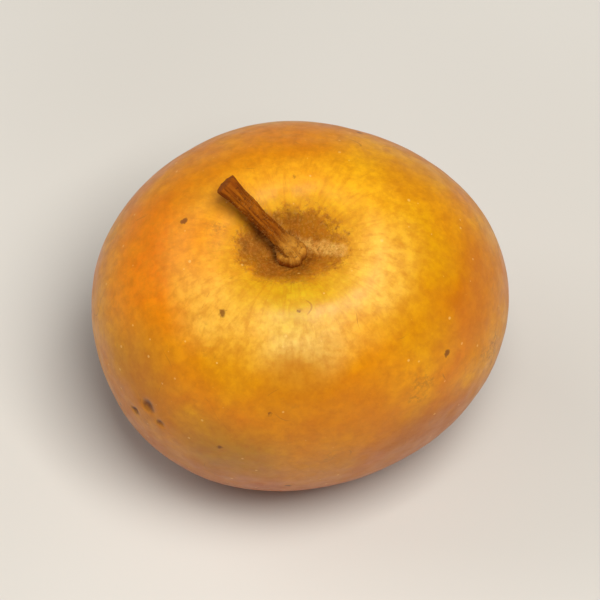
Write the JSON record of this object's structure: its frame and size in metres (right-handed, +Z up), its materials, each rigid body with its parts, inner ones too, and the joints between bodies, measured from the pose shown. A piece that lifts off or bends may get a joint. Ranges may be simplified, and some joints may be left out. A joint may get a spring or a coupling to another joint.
{
  "type": "indian jujube fruit",
  "caption": "Ripe round Indian jujube with its short bent stalk in a small hollow, resting on a small flat spot.",
  "frame": {"origin": "bottom centre of the box around the fruit, on the surface that it rests on", "axes": "+Z up, +X to the right and +Y away from the viewer; the stalk end leans from +Z by 11 degrees towards -Y and 4 degrees towards -X"},
  "size_m": [0.025, 0.0218, 0.0242],
  "materials": {
    "fruit_skin": "thin waxy skin, golden orange with olive and red-brown patches, satin gloss",
    "stalk": "dry brown stalk, matt, finely ridged"
  },
  "bodies": {
    "root": {"fruit": "fruit_skin", "stalk": "stalk"}
  },
  "joints": []
}
